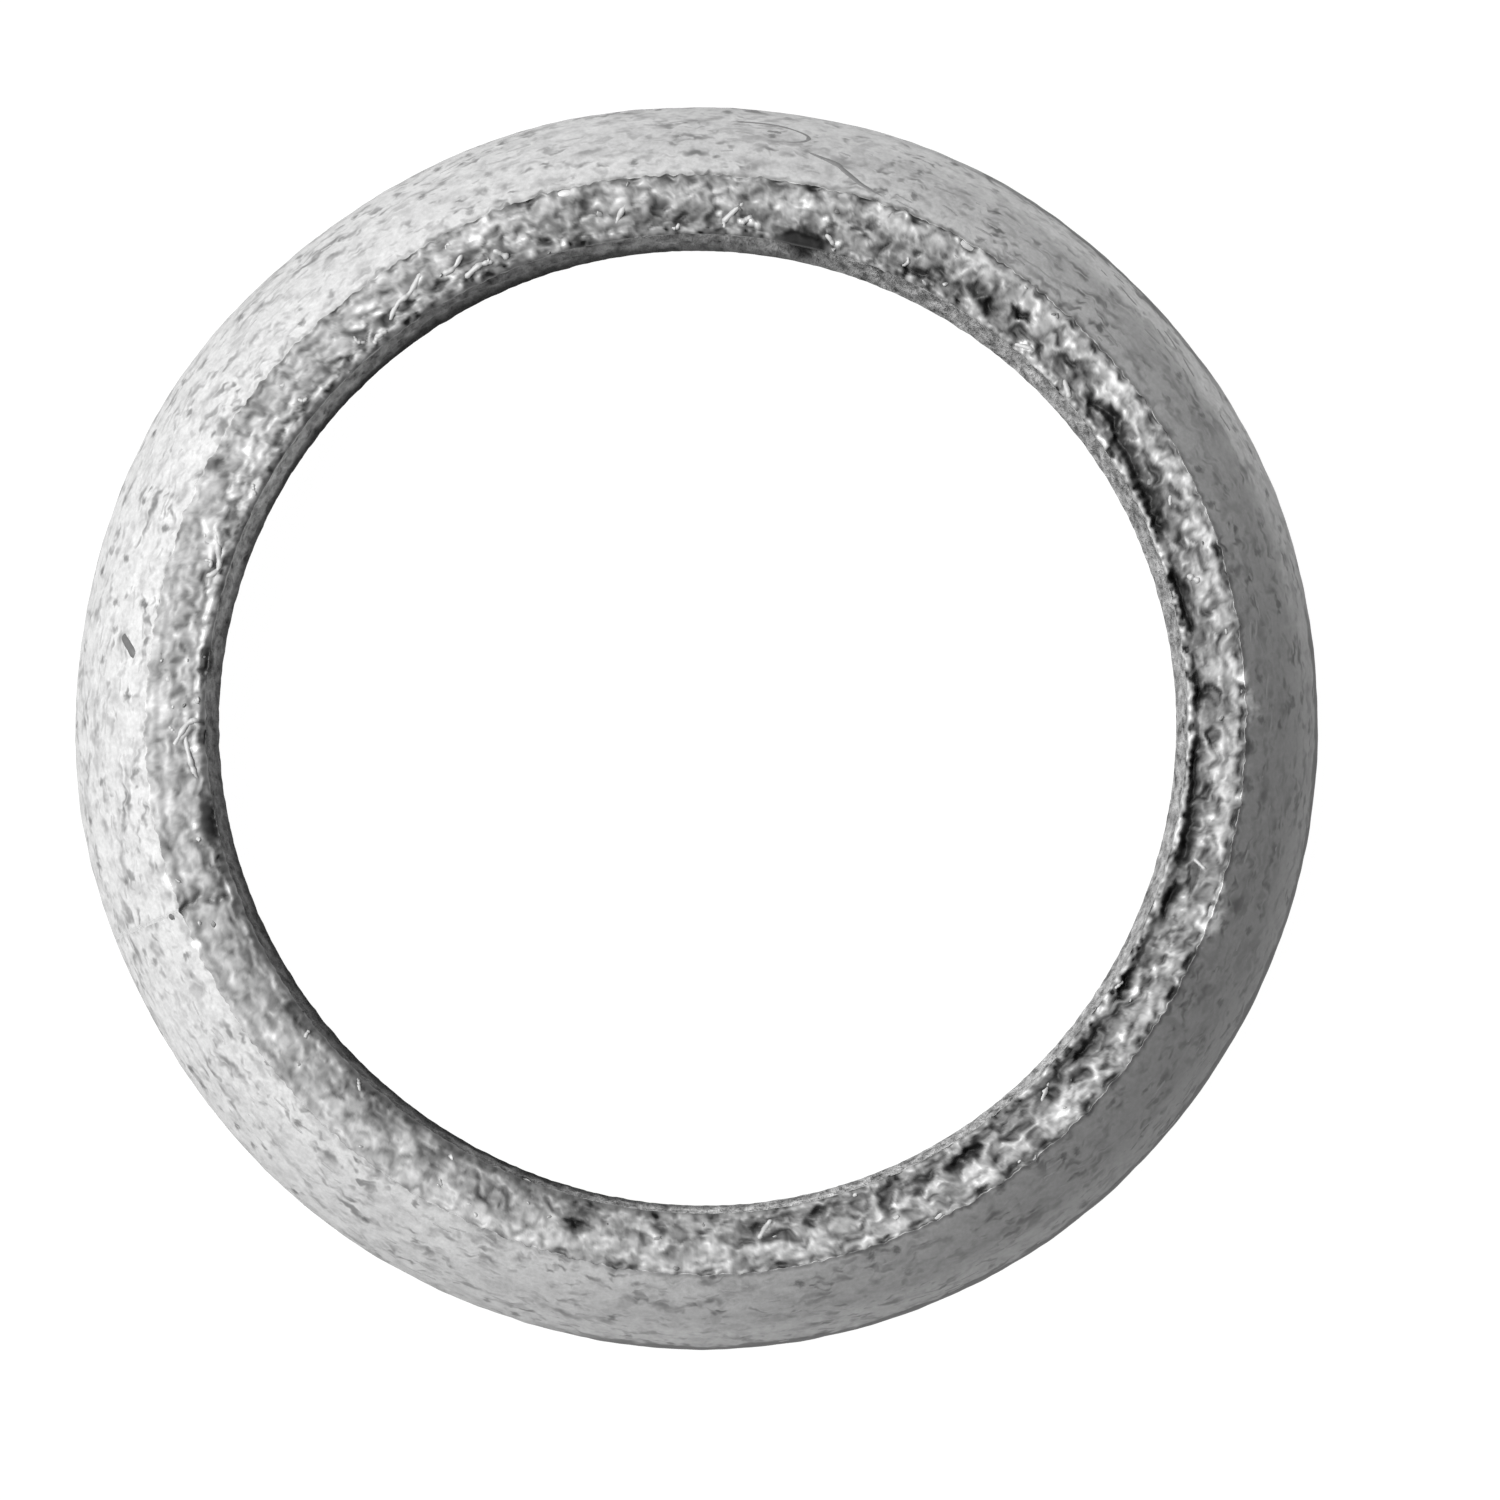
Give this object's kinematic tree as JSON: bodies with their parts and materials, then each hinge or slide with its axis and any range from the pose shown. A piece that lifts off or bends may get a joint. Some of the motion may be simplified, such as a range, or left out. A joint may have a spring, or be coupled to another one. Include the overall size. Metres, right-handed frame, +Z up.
{
  "type": "exhaust gasket",
  "caption": "Pressed ring gasket for a flared exhaust joint: round bore, flat wide end, short straight wall, convex seat and a crumpled narrow end.",
  "frame": {"origin": "centre of the flat wide end, on the axis of the bore", "axes": "+Z up the bore from the wide end to the crumpled narrow end; +X to the right and +Y to the top as seen from above"},
  "size_m": [0.066, 0.066, 0.015],
  "materials": {
    "pressed_mesh": "satin grey filler pressed over knitted steel wire, smooth with faint wire marks on the seat, crumpled and glinting on the narrow end"
  },
  "bodies": {
    "root": {"gasket_ring": "pressed_mesh"}
  },
  "joints": []
}
